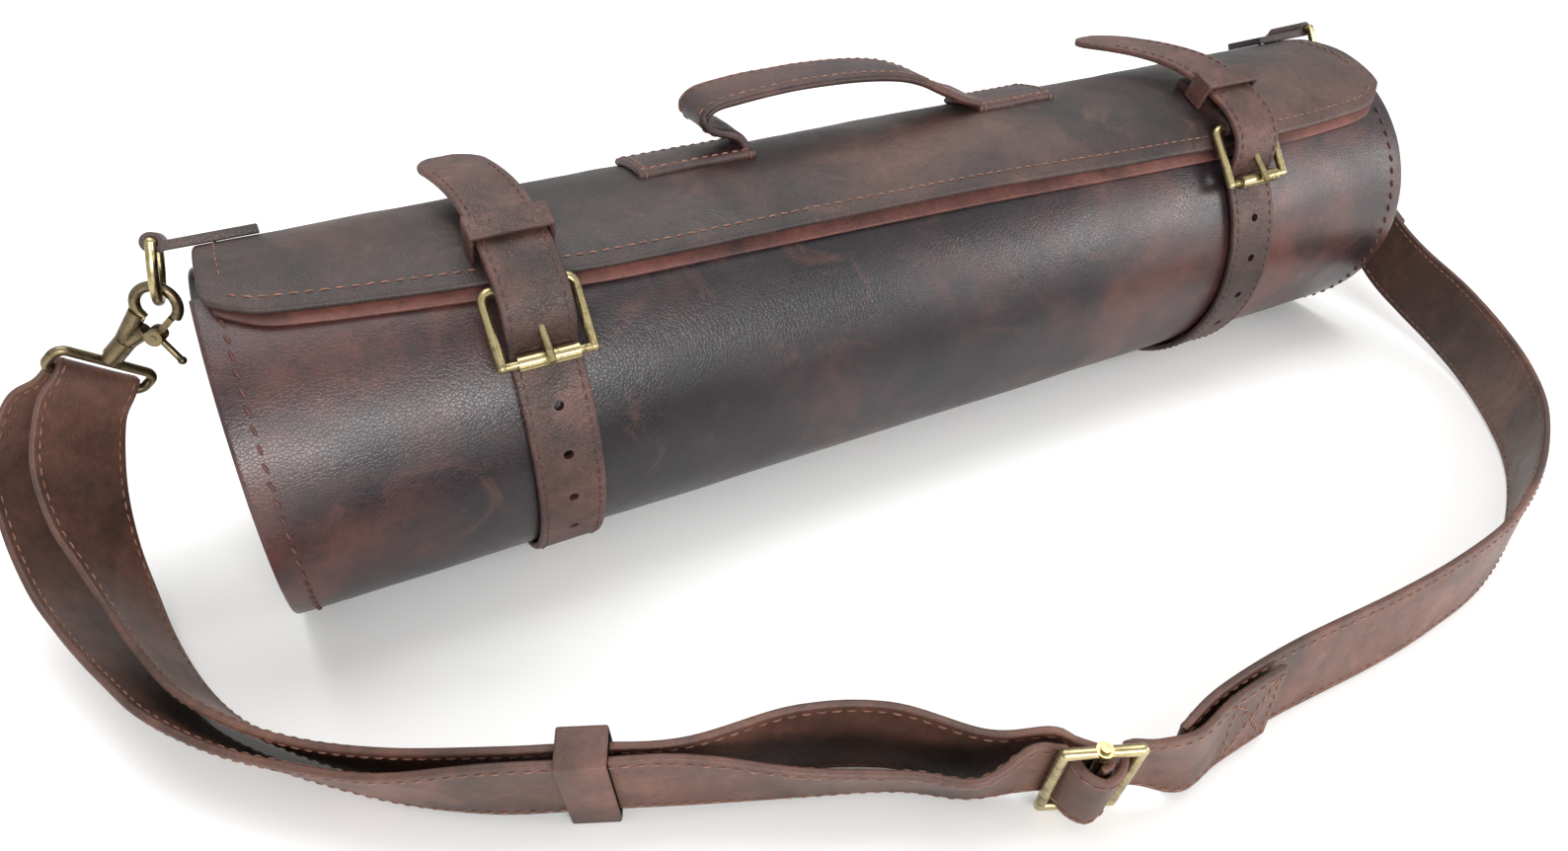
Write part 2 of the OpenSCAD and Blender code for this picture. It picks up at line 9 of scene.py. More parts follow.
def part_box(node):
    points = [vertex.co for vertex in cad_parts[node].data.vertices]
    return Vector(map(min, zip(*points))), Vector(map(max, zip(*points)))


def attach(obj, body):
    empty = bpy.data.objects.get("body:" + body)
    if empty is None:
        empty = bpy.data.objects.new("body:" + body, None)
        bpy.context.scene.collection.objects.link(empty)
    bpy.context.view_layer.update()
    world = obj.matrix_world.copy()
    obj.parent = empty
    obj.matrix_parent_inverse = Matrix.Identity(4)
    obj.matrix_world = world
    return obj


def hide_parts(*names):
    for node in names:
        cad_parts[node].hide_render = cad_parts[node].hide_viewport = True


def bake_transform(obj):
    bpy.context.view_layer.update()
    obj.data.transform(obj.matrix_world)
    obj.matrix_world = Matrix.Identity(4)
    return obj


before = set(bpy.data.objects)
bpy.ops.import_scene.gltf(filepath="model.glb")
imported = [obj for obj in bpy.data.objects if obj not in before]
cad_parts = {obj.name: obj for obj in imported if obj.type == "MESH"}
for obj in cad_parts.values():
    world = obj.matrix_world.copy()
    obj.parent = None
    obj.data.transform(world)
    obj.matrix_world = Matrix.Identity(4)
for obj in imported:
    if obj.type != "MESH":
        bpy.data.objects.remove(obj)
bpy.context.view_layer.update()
MM = 0.001

# ------------------------------------------------------------------ sizes, in millimetres
def box_mm(node):
    """The two corners of a node's box."""
    return [np.array(corner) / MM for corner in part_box(node)]


roll_lo, roll_hi = box_mm("outer_wrap")
HALF = (roll_hi[0] - roll_lo[0]) / 2
AXIS = 55.0                      # height of the roll's axis
R0, PITCH, HIDE = 58.4, 4.4, 2.8  # the spiral's outer radius, its step per turn, the hide's thickness
FIRST = 75.0                     # winding angles in degrees: the hide's outer end, and its inner end
LAST = FIRST - 360 * 1.75
PER_RADIAN = 57.3                # degrees in a radian, as the arc lengths use it
FLAP_BACK, FLAP_HALF, FLAP_T, FLAP_R = 150.0, 222.0, 2.4, 61.0
FACING_HALF, FACING_T, FACING_R = 220.5, 1.2, 59.0
CLOSE_W, CLOSE_T = 21.0, 2.4
CLOSE_X = {s: (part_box("closure_strap_" + s)[0][0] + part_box("closure_strap_" + s)[1][0]) / 2 / MM
           for s in ("left", "right")}
CLOSE_TAIL = {"left": (-7.0, 2.0), "right": (-27.0, 5.0)}   # how far each tail leans and lifts
HOLE_R, HOLE_PHI = 1.55, (19, 3, -13, -29)
HANDLE_T, FOOT_T, FOOT_R = 3.0, 2.6, 62.0
FOOT_X = {"left": (-92, -50), "right": (40, 74)}
FOOT_PHI = (75, 106)
STRAP_W, STRAP_T = 27.0, 2.2


def rad(phi, inset=0.0):
    """Radius of the hide's outer face at winding angle phi, less an inset."""
    return R0 - PITCH * (FIRST - phi) / 360 - inset


def on(r, phi):
    """(y, z) at winding angle phi: 0 faces -Y, 90 is the top."""
    p = np.radians(phi)
    return -r * np.cos(p), AXIS + r * np.sin(p)


def outward(phi):
    """Unit vectors away from the axis at winding angle phi."""
    p = np.radians(phi)
    return np.stack([np.zeros_like(p), -np.cos(p), np.sin(p)], -1)


def radial(y, z):
    """Unit vectors away from the axis at the points (y, z)."""
    n = np.stack([np.zeros(len(y)), y, z - AXIS], 1)
    return n / np.linalg.norm(n, axis=1, keepdims=True)


def flap_r(phi):
    """Radius of the flap's inner face: over the roll, over the step in it, then over the facing."""
    phi = np.asarray(phi, float)
    gap, front_gap, top_rise, front_from = 0.25, 0.45, 0.0493, 56
    back = rad(phi - 360) + gap
    top = rad(FLAP_BACK - 360) + gap + (FLAP_BACK - phi) * top_rise
    front = rad(phi) + FACING_T + front_gap
    return np.where(phi >= FLAP_BACK, back, np.where(phi > front_from, top, front))


# the flap's front edge: x, and the winding angle where the flap ends there
EDGE = np.array([[-222, 76], [-221, 69], [-217, 64], [-210, 61.5], [-190, 59], [-155, 55.5], [-114, 52.5],
                 [-55, 51.3], [20, 49.5], [80, 47], [125, 45.6], [175, 46], [205, 47.5], [216, 50.5],
                 [220, 56], [222, 64]], float)


def front_edge(x, shift=0.0):
    """Winding angle of the flap's edge at x, smoothed over seven samples."""
    angle = np.interp(x, EDGE[:, 0], EDGE[:, 1]) - shift
    return np.convolve(np.pad(angle, 3, mode="edge"), np.ones(7) / 7, "valid")


def near_straps(x, width):
    """1 under the middle of a closure strap, fading to 0 beside it."""
    return sum(np.exp(-((x - mid) / width) ** 2) for mid in CLOSE_X.values())


# ------------------------------------------------------------------ noise and curves
def value_noise(x, y, seed):
    """Smooth repeatable noise in -1..1 at the points (x, y), from hashed lattice corners."""
    xi, yi = np.floor(x).astype(int), np.floor(y).astype(int)
    fx, fy = x - xi, y - yi
    fx, fy = fx * fx * (3 - 2 * fx), fy * fy * (3 - 2 * fy)

    def corner(a, b):
        n = (a * 374761393 + b * 668265263 + seed * 974634777) & 0x7FFFFFFF
        n = ((n ^ (n >> 13)) * 1274126177) & 0x7FFFFFFF
        return (n / 0x7FFFFFFF) * 2 - 1

    top = corner(xi, yi) * (1 - fx) + corner(xi + 1, yi) * fx
    low = corner(xi, yi + 1) * (1 - fx) + corner(xi + 1, yi + 1) * fx
    return top * (1 - fy) + low * fy


def noise(x, y, seed, octaves=3):
    """value_noise summed over octaves, each twice as fine and half as strong."""
    out, size, total = 0.0, 1.0, 0.0
    for k in range(octaves):
        out = out + size * value_noise(x * 2 ** k, y * 2 ** k, seed + 17 * k)
        total, size = total + size, size / 2
    return out / total


def spline(stations, n):
    """Catmull-Rom through the stations, n steps between each pair."""
    s = np.array(stations, float)
    m = len(s) - 1
    out = []
    for i in range(m):
        p0, p1, p2, p3 = s[max(i - 1, 0)], s[i], s[i + 1], s[min(i + 2, m)]
        for k in range(n):
            t = k / n
            out.append(0.5 * (2 * p1 + (p2 - p0) * t + (2 * p0 - 5 * p1 + 4 * p2 - p3) * t * t
                              + (3 * p1 - p0 - 3 * p2 + p3) * t ** 3))
    out.append(s[m])
    return np.array(out)


def arc_length(points):
    """Distance along a polyline to each of its points."""
    return np.concatenate([[0], np.cumsum(np.linalg.norm(np.diff(points, axis=0), axis=1))])


def nearest(values, want):
    """Index of the value closest to want."""
    return int(np.argmin(abs(values - want)))


def at_arc(s, arc, table):
    """The table's row at distance s along it."""
    return np.array([np.interp(s, arc, table[:, k]) for k in range(table.shape[1])])


def run(length, n, edge):
    """0..length with close samples over the rounded edges."""
    near = np.array([0, 0.06, 0.2, 0.42, 0.7, 1.0]) * edge
    inner = np.linspace(edge, length - edge, n)[1:-1]
    return np.concatenate([near, inner, (length - near)[::-1]])


# ------------------------------------------------------------------ meshes
def new_object(name, verts, faces, material, uv=None, smooth=True):
    """A mesh object from vertices in millimetres."""
    me = bpy.data.meshes.new(name)
    me.from_pydata((np.asarray(verts) * MM).tolist(), [], faces)
    me.validate()
    me.materials.append(material)
    if uv is not None:
        layer = me.uv_layers.new(name="UVMap")
        index = np.zeros(len(me.loops), int)
        me.loops.foreach_get("vertex_index", index)
        layer.data.foreach_set("uv", np.asarray(uv)[index].astype(np.float32).ravel())
    if smooth:
        me.shade_smooth()
    obj = bpy.data.objects.new(name, me)
    bpy.context.scene.collection.objects.link(obj)
    return obj


def rounding(d, edge, least=0.2):
    """Share of the thickness d mm from an edge, on a quarter round of radius edge."""
    k = np.clip(d / edge, 0, 1)
    return least + (1 - least) * np.sqrt(np.clip(1 - (1 - k) ** 2, 0, 1))


class Slab:
    """A leather sheet on a mid surface P[nu, nv, 3] in mm.

    du and dv are the distances from its first edges along u and v, t its thickness, edge the rounding of
    its rim, and bump moves the surface along its normal.
    """

    def __init__(self, name, P, du, dv, t, material, edge=1.0, bump=None):
        P = np.asarray(P, float)
        nu, nv = P.shape[:2]
        a, b = np.gradient(P, axis=0), np.gradient(P, axis=1)
        n = np.cross(a, b)
        n /= np.maximum(np.linalg.norm(n, axis=2, keepdims=True), 1e-9)
        self.N = n
        f = rounding(np.minimum(du, du[::-1]), edge) * rounding(np.minimum(dv, dv[:, ::-1]), edge)
        h = (t / 2 * f)[..., None]
        if bump is not None:
            P = P + n * bump[..., None]
        self.top, self.low = P + n * h, P - n * h
        verts = np.concatenate([self.top.reshape(-1, 3), self.low.reshape(-1, 3)])
        k = nu * nv
        idx = np.arange(k).reshape(nu, nv)
        quad = [idx[:-1, :-1].ravel(), idx[1:, :-1].ravel(), idx[1:, 1:].ravel(), idx[:-1, 1:].ravel()]
        up, down = np.stack(quad, 1), np.stack(quad[::-1], 1) + k
        rim = np.concatenate([idx[:, 0], idx[-1, 1:], idx[-2::-1, -1], idx[0, -2:0:-1]])
        nxt = np.roll(rim, -1)
        side = np.stack([nxt, rim, rim + k, nxt + k], 1)
        faces = np.concatenate([up, down, side])
        self.arc_u, self.arc_v = arc_length(P[:, nv // 2]), arc_length(P[nu // 2])
        uv_mm, low_face = 100, [0, 3]
        uu, vv = np.meshgrid(self.arc_u / uv_mm, self.arc_v / uv_mm, indexing="ij")
        uv = np.stack([uu.ravel(), vv.ravel()], 1)
        self.obj = new_object(name, verts, faces.tolist(), material, np.concatenate([uv, uv + low_face]))

    def col(self, d):
        """Index of the column d mm from the low-v edge, or from the far edge where d is negative."""
        return nearest(self.arc_v, d if d >= 0 else self.arc_v[-1] + d)

    def row(self, d):
        """The same for the row, along u."""
        return nearest(self.arc_u, d if d >= 0 else self.arc_u[-1] + d)

    def face_towards(self, i, j, direction):
        """The face whose normal at (i, j) points along direction, and that normal's sign."""
        sign = 1 if self.N[i, j] @ np.asarray(direction, float) > 0 else -1
        return (self.top if sign > 0 else self.low), sign

    def finish(self, node, body="case"):
        """Puts the sheet on its body in place of the CAD node."""
        if body:
            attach(self.obj, body)
        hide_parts(node)


# ------------------------------------------------------------------ stitches
THREADS = {}   # (body, thread colour): the stitches of one mesh


def stitch(body, line, normals, pitch, length, r, key, start=2.0, end=2.0, slant=0.0, skip=None):
    """Adds a row of stitches along a line to the body's thread mesh."""
    line, normals = np.asarray(line, float), np.asarray(normals, float)
    arc = arc_length(line)
    look = 0.8   # mm before and after a stitch that give its direction
    rng = np.random.default_rng(int(arc[-1] * 10) + len(line))
    for s in np.arange(start, arc[-1] - end, pitch):
        at, n = at_arc(s, arc, line), at_arc(s, arc, normals)
        d = at_arc(min(s + look, arc[-1]), arc, line) - at_arc(max(s - look, 0), arc, line)
        if skip is not None and skip(at):
            continue
        d /= np.linalg.norm(d) + 1e-9
        n = n - d * (n @ d)
        n /= np.linalg.norm(n) + 1e-9
        b = np.cross(n, d)
        turn = slant + rng.normal(0, 0.05)
        d, b = d * math.cos(turn) + b * math.sin(turn), b * math.cos(turn) - d * math.sin(turn)
        THREADS.setdefault((body, key), []).append((at, d, n, b, length * rng.uniform(0.93, 1.05), r))


def build_threads(materials):
    """One mesh per body and thread colour, of small rounded stitches that sink at both ends."""
    rings, sides = 5, 6
    for (body, key), rows in THREADS.items():
        verts, faces, base = [], [], 0
        for at, d, n, b, length, r in rows:
            for i in range(rings):
                k = i / (rings - 1) * 2 - 1   # -1 at one end of the stitch, 1 at the other
                w = r * (0.45 + 0.55 * math.sqrt(max(0, 1 - abs(k) ** 3)))
                c = at + d * (k * length / 2) + n * (r * 0.35 - 0.75 * r * k ** 4)
                for j in range(sides):
                    q = 2 * math.pi * j / sides
                    verts.append(c + (b * math.cos(q) + n * math.sin(q)) * w)
            for i in range(rings - 1):
                for j in range(sides):
                    a, a2 = base + i * sides + j, base + i * sides + (j + 1) % sides
                    faces.append((a, a2, a2 + sides, a + sides))
            faces.append(tuple(base + j for j in reversed(range(sides))))
            faces.append(tuple(base + (rings - 1) * sides + j for j in range(sides)))
            base += rings * sides
        o = new_object("stitches_" + body + "_" + key, verts, faces, materials[key])
        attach(o, body)


def paint(mesh, material):
    """Gives the mesh this material and no other."""
    mesh.materials.clear()
    mesh.materials.append(material)


def copy_of(node, material, body, bevel, segments=3):
    """A softened copy of a CAD node: welded, its flat facets joined and its edges rounded."""
    weld, flat, sharp_edge, smooth_to = 2e-6, math.radians(1.0), math.radians(32), math.radians(38)
    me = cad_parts[node].data.copy()
    obj = bpy.data.objects.new(node + "_leather", me)
    bpy.context.scene.collection.objects.link(obj)
    bm = bmesh.new()
    bm.from_mesh(me)
    bmesh.ops.remove_doubles(bm, verts=bm.verts, dist=weld)
    bmesh.ops.dissolve_limit(bm, angle_limit=flat, verts=bm.verts, edges=bm.edges)
    sharp = [e for e in bm.edges if len(e.link_faces) == 2 and e.calc_face_angle(0) > sharp_edge]
    bmesh.ops.bevel(bm, geom=sharp, offset=bevel * MM, segments=segments, profile=0.5, affect="EDGES",
                    clamp_overlap=True)
    bm.to_mesh(me)
    bm.free()
    paint(me, material)
    for p in me.polygons:
        p.material_index = 0
    me.shade_smooth()
    me.set_sharp_from_angle(angle=smooth_to)
    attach(obj, body)
    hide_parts(node)


# ------------------------------------------------------------------ materials
def tree(name):
    """A new material, its node tree and its Principled BSDF."""
    m = bpy.data.materials.new(name)
    m.use_nodes = True
    t = m.node_tree
    bsdf = t.nodes["Principled BSDF"]
    return m, t, bsdf


def add(t, kind, attrs=(), **inputs):
    """A new node with its settings, and its inputs as values or links."""
    n = t.nodes.new(kind)
    for k, v in dict(attrs).items():
        setattr(n, k, v)
    for k, v in inputs.items():
        feed(t, n.inputs[k.replace("_", " ")], v)
    return n


def feed(t, sock, v):
    """Links a socket into sock, or sets its value; three numbers are an RGB colour."""
    if isinstance(v, bpy.types.NodeSocket):
        t.links.new(v, sock)
    elif isinstance(v, tuple) and sock.type == "RGBA":
        sock.default_value = (*v, 1)
    else:
        sock.default_value = v


def noise_node(t, vec, scale, detail=4.0, rough=0.55, distortion=0.0):
    return add(t, "ShaderNodeTexNoise", Scale=scale, Detail=detail, Roughness=rough, Distortion=distortion,
               Vector=vec)


def ramp(t, fac, stops):
    """A colour ramp's output; a stop's colour is RGB, or one number for grey."""
    r = add(t, "ShaderNodeValToRGB", Fac=fac)
    e = r.color_ramp.elements
    while len(e) < len(stops):
        e.new(0.5)
    for el, (p, c) in zip(e, stops):
        el.position = p
        el.color = (c, c, c, 1) if isinstance(c, float) else (*c, 1)
    return r.outputs["Color"]


def mix_colour(t, fac, a, b, mode="MIX"):
    m = add(t, "ShaderNodeMix", {"data_type": "RGBA", "blend_type": mode})
    for sock, v in zip((0, 6, 7), (fac, a, b)):   # the RGBA mix's Factor, A and B
        feed(t, m.inputs[sock], v)
    return m.outputs[2]


def math_node(t, op, a, b=0.0):
    n = add(t, "ShaderNodeMath", {"operation": op})
    for sock, v in zip(n.inputs, (a, b)):
        feed(t, sock, v)
    return n.outputs[0]


def map_range(t, value, span, to):
    """value carried from the range span to the range to."""
    r = add(t, "ShaderNodeMapRange", From_Min=span[0], From_Max=span[1], To_Min=to[0], To_Max=to[1],
            Value=value)
    return r.outputs["Result"]


def bump_node(t, height, strength, distance):
    return add(t, "ShaderNodeBump", Strength=strength, Distance=distance, Height=height).outputs["Normal"]


def edges_node(t, vec, scale):
    """Distance to the edge of the nearest Voronoi cell."""
    return add(t, "ShaderNodeTexVoronoi", {"feature": "DISTANCE_TO_EDGE"}, Scale=scale,
               Vector=vec).outputs["Distance"]


def cracks(t, vec, cloud, scale):
    """0 in the cracks and 1 between them; the clouds' light patches have none."""
    warp = noise_node(t, vec, 90, 3.0).outputs["Color"]
    warped = add(t, "ShaderNodeVectorMath", {"operation": "MULTIPLY_ADD"})
    for sock, v in zip(warped.inputs, (warp, (0.012, 0.012, 0.012), vec)):
        feed(t, sock, v)
    line = ramp(t, edges_node(t, warped.outputs[0], scale), [(0.0, 0.0), (0.09, 1.0)])
    return math_node(t, "MAXIMUM", line, ramp(t, cloud, [(0.42, 0.0), (0.6, 1.0)]))


def leather(name, stops, patch, rough, bump, grain=900.0, crack_scale=None, wear=None, offset=0.0):
    """Waxed pull-up hide: clouds of light and dark, fine pores, creases and a broken gloss."""
    m, t, bsdf = tree(name)
    place = add(t, "ShaderNodeMapping", Location=(offset, offset * 0.7, -offset),
                Vector=add(t, "ShaderNodeTexCoord").outputs["Object"])
    v = place.outputs["Vector"]
    big = noise_node(t, v, patch, 5.0, 0.56, 0.6).outputs["Fac"]
    mid = noise_node(t, v, patch * 5, 6.0, 0.62, 0.4).outputs["Fac"]
    fine = noise_node(t, v, 420, 5.0, 0.6).outputs["Fac"]
    clouds = math_node(t, "ADD", math_node(t, "MULTIPLY", big, 0.74), math_node(t, "MULTIPLY", mid, 0.26))
    col = ramp(t, clouds, stops)
    # fine mottling in the wax
    speck = ramp(t, fine, [(0.3, (0.62, 0.6, 0.6)), (0.5, (1, 1, 1)), (0.72, (1.3, 1.24, 1.2))])
    col = mix_colour(t, 0.6, col, speck, "MULTIPLY")
    pores = ramp(t, edges_node(t, v, grain), [(0.0, 0.0), (0.12, 0.8), (0.4, 1.0)])
    height = math_node(t, "MULTIPLY", pores, 0.35)
    height = math_node(t, "ADD", height, math_node(t, "MULTIPLY", fine, 0.5))
    height = math_node(t, "ADD", height, math_node(t, "MULTIPLY", mid, 0.9))
    if crack_scale is not None:
        line = cracks(t, v, mid, crack_scale)
        dark = math_node(t, "SUBTRACT", 1.0, line)
        col = mix_colour(t, math_node(t, "MULTIPLY", dark, 0.55), col, stops[0][1])
        height = math_node(t, "ADD", height, math_node(t, "MULTIPLY", line, 0.5))
    if wear is not None:
        scuff = ramp(t, noise_node(t, v, 38, 8.0, 0.7, 1.2).outputs["Fac"], [(0.56, 0.0), (0.70, 1.0)])
        col = mix_colour(t, math_node(t, "MULTIPLY", scuff, 0.5), col, wear)
    gloss = noise_node(t, v, patch * 2.3, 6.0, 0.6, 0.8).outputs["Fac"]
    feed(t, bsdf.inputs["Base Color"], col)
    feed(t, bsdf.inputs["Roughness"], map_range(t, gloss, (0.3, 0.7), rough))
    feed(t, bsdf.inputs["Normal"], bump_node(t, height, bump, 0.0006))
    bsdf.inputs["Specular IOR Level"].default_value = 0.5
    return m


def metal(name, base, dark, rough):
    """Aged plated metal: rubbed bright with dark tarnish in patches."""
    m, t, bsdf = tree(name)
    scale, bright = 180.0, tuple(min(1, c * 1.18) for c in base)
    co = add(t, "ShaderNodeTexCoord").outputs["Object"]
    patches = noise_node(t, co, scale, 6.0, 0.65, 0.5).outputs["Fac"]
    pits = noise_node(t, co, scale * 7, 4.0, 0.6).outputs["Fac"]
    f = math_node(t, "ADD", math_node(t, "MULTIPLY", patches, 0.8), math_node(t, "MULTIPLY", pits, 0.2))
    feed(t, bsdf.inputs["Base Color"], ramp(t, f, [(0.34, dark), (0.52, base), (0.75, bright)]))
    feed(t, bsdf.inputs["Roughness"], map_range(t, patches, (0.35, 0.65), rough[::-1]))
    feed(t, bsdf.inputs["Normal"], bump_node(t, f, 0.12, 0.0003))
    bsdf.inputs["Metallic"].default_value = 1.0
    return m


def thread(name, dark, light):
    """Waxed thread, mottled along its length."""
    m, t, bsdf = tree(name)
    twist = noise_node(t, add(t, "ShaderNodeTexCoord").outputs["Object"], 260, 3.0).outputs["Fac"]
    feed(t, bsdf.inputs["Base Color"], ramp(t, twist, [(0.35, dark), (0.65, light)]))
    bsdf.inputs["Roughness"].default_value = 0.7
    return m


ROLL = leather("hide", [(0.40, (0.007, 0.005, 0.007)), (0.48, (0.015, 0.009, 0.011)),
                        (0.55, (0.036, 0.016, 0.016)), (0.64, (0.080, 0.028, 0.022))], patch=10.0,
               rough=(0.26, 0.42), bump=0.22, wear=(0.085, 0.036, 0.027))
FLAP = leather("hide_flap", [(0.38, (0.011, 0.007, 0.007)), (0.47, (0.024, 0.013, 0.012)),
                             (0.55, (0.044, 0.022, 0.018)), (0.66, (0.078, 0.038, 0.030))], patch=13.0,
               rough=(0.42, 0.60), bump=0.36, offset=0.3, wear=(0.11, 0.052, 0.039))
STRAP = leather("strap_leather", [(0.37, (0.030, 0.013, 0.009)), (0.46, (0.060, 0.025, 0.016)),
                                  (0.55, (0.096, 0.040, 0.026)), (0.66, (0.150, 0.068, 0.045))], patch=20.0,
                grain=1100, rough=(0.42, 0.6), bump=0.3, offset=0.9)
CRACK = leather("closure_leather", [(0.36, (0.020, 0.010, 0.008)), (0.46, (0.046, 0.019, 0.015)),
                                    (0.56, (0.080, 0.032, 0.024)), (0.68, (0.125, 0.052, 0.038))], patch=24.0,
                rough=(0.40, 0.58), bump=0.45, offset=1.7, crack_scale=420.0)
DARK = leather("dark_leather", [(0.36, (0.015, 0.008, 0.008)), (0.47, (0.036, 0.016, 0.014)),
                                (0.57, (0.066, 0.026, 0.021)), (0.68, (0.100, 0.038, 0.028))], patch=26.0,
               rough=(0.40, 0.56), bump=0.35, offset=2.4)
EDGE_RED = leather("cut_edge", [(0.36, (0.035, 0.012, 0.010)), (0.47, (0.070, 0.022, 0.017)),
                                (0.58, (0.110, 0.036, 0.026)), (0.68, (0.150, 0.055, 0.038))], patch=30.0,
                   rough=(0.5, 0.66), bump=0.3, offset=3.1)
LINING_HIDE = leather("lining", [(0.36, (0.090, 0.048, 0.030)), (0.5, (0.150, 0.085, 0.055)),
                             (0.66, (0.210, 0.125, 0.080))], patch=16.0,
                      rough=(0.7, 0.85), bump=0.4, offset=4.0)
BRASS = metal("antique_brass", (0.46, 0.38, 0.20), (0.11, 0.088, 0.045), rough=(0.2, 0.4))
BRONZE = metal("bronze", (0.20, 0.155, 0.09), (0.04, 0.032, 0.022), rough=(0.28, 0.5))
THREAD_TAN = thread("thread_tan", (0.12, 0.05, 0.032), (0.22, 0.105, 0.066))
THREAD_RED = thread("thread_red", (0.045, 0.014, 0.011), (0.095, 0.032, 0.024))

# ------------------------------------------------------------------ roll
INNER_FROM, INNER_FLOOR = -270, 7.2   # turns inside this angle lie on the turns below them
X = run(2 * HALF, 170, 1.6) - HALF
phi = FIRST - run(FIRST - LAST, 300, 1.6 / R0 * PER_RADIAN)
PH, XX = np.meshgrid(phi, X, indexing="ij")
soft = noise(XX / 46, PH / 30, 3, 3)
dent = -0.45 + 0.42 * soft - 0.25 * near_straps(XX, 17.0)
dent = np.where(PH > -300, dent, 0.2 * soft)
end_curl = np.exp(-(HALF - abs(XX)) / 5.0)
dent = dent - 0.5 * end_curl * (0.6 + 0.4 * noise(XX * 0, PH / 14, 5))
y, z = on(rad(PH, HIDE / 2) + dent, PH)
z = np.maximum(z, np.where(PH > INNER_FROM, 0.0, INNER_FLOOR) + HIDE / 2)
arc = np.abs(phi - FIRST)[:, None] / PER_RADIAN * R0 * np.ones_like(PH)
roll = Slab("roll_hide", np.stack([XX, y, z], 2), arc, XX + HALF, HIDE, ROLL, edge=1.4)
roll.finish("outer_wrap")


def on_floor(p):
    """Stitches here would be pressed into the floor."""
    return p[2] < 1.5


out, keep = outward(phi), phi > -205
for j in (roll.col(8.2), roll.col(-8.2)):
    face, _ = roll.face_towards(20, j, out[20])
    stitch("case", face[keep][:, j] + out[keep] * 0.1, out[keep], pitch=5.2, length=3.3, r=0.5, slant=0.25,
           skip=on_floor, key="red")

# ------------------------------------------------------------------ flap and its facing
u = run(1.0, 60, 0.02)
XF = run(2 * FLAP_HALF, 190, 1.4) - FLAP_HALF
edge_phi = front_edge(XF)
UU, XX = np.meshgrid(u, XF, indexing="ij")
EE = np.broadcast_to(edge_phi, UU.shape)
PH = FLAP_BACK + (EE - FLAP_BACK) * UU
# the front edge stands off the roll between the closure straps
lift = 2.6 * np.exp(-((XX - 5) / 85.0) ** 2) * np.clip((72 - PH) / 22, 0, 1) ** 2
lift = lift + 0.5 * np.clip((72 - PH) / 25, 0, 1) * noise(XX / 38, PH / 40, 8, 2)
dent = 0.32 * noise(XX / 40, PH / 22, 11, 3) + 0.12 * noise(XX / 9, PH / 9, 12, 2)
y, z = on(flap_r(PH) + FLAP_T / 2 + dent + lift * (1 - near_straps(XX, 18.0)) + 0.15, PH)
from_back = UU * (FLAP_BACK - EE) / PER_RADIAN * FLAP_R
flap = Slab("flap_hide", np.stack([XX, y, z], 2), from_back, XX + FLAP_HALF, FLAP_T, FLAP, edge=1.2)
flap.finish("flap")
flap_out = outward(PH)
flap_top, _ = flap.face_towards(30, 90, flap_out[30, 90])


def under_strap(p):
    return any(abs(p[0] - x) < 12.5 for x in CLOSE_X.values())


def flap_line(inset):
    """The outer surface of the flap, inset mm behind its front edge, all along X."""
    pts = []
    for j in range(len(XF)):
        full = (FLAP_BACK - edge_phi[j]) / PER_RADIAN * FLAP_R
        s = np.interp(1 - inset / full, u, np.arange(len(u)))
        i, k = int(s), min(int(s) + 1, len(u) - 1)
        pts.append(flap_top[i, j] * (1 - (s - i)) + flap_top[k, j] * (s - i))
    pts = np.array(pts)
    return pts, radial(pts[:, 1], pts[:, 2])


SEAM_X = 217.0
flap_thread = dict(pitch=3.9, length=2.8, r=0.28, key="tan")
pts, nrm = flap_line(5.0)
inner = abs(XF) < SEAM_X
stitch("case", (pts + nrm * 0.08)[inner], nrm[inner], skip=under_strap, **flap_thread)
for x in (-SEAM_X, SEAM_X):
    j, rows = nearest(XF, x), slice(8, len(u) - 12)
    stitch("case", flap_top[rows, j] + flap_out[rows, j] * 0.08, flap_out[rows, j], **flap_thread)

XF2 = run(2 * FACING_HALF, 170, 1.0) - FACING_HALF
UU, XX = np.meshgrid(run(1.0, 12, 0.07), XF2, indexing="ij")
facing_edge = np.maximum(front_edge(XF2 * FLAP_HALF / FACING_HALF, shift=3.2), 42)
EE = np.broadcast_to(facing_edge, UU.shape)
back = np.maximum(57, EE + 8)
PH = back + (EE - back) * UU
y, z = on(rad(PH) + 0.2 + FACING_T / 2 + 0.22 * noise(XX / 30, PH / 20, 21, 2), PH)
facing = Slab("flap_facing_leather", np.stack([XX, y, z], 2), UU * (back - EE) / PER_RADIAN * FACING_R,
              XX + FACING_HALF, FACING_T, EDGE_RED, edge=0.5)
facing.finish("flap_facing")

# ------------------------------------------------------------------ closure straps
# (winding angle, radius of the inner face) from where the strap leaves the hide to its tail
OVER = [[27, 58.0], [31, 58.2], [34, 58.7], [36, 60.0], [38, 62.2], [40.5, 65], [43.5, 67.6], [47, 69.2],
        [51, 69.7], [56, 69.4], [62, 68.4], [68, 68.2], [75, 68], [82, 67.6], [90, 67.2], [97, 67.2],
        [103, 67.6], [109, 68.6]]
TIP_Y, TAIL_RUN = 24.5, 60
under = [[p, rad(p) + 0.3] for p in np.linspace(-195, 24, 74)]
station = np.array(under + OVER)
y, z = on(station[:, 1] + CLOSE_T / 2, station[:, 0])
path = spline(np.stack([y, np.maximum(z, CLOSE_T / 2)], 1), 3)
seg = arc_length(path)
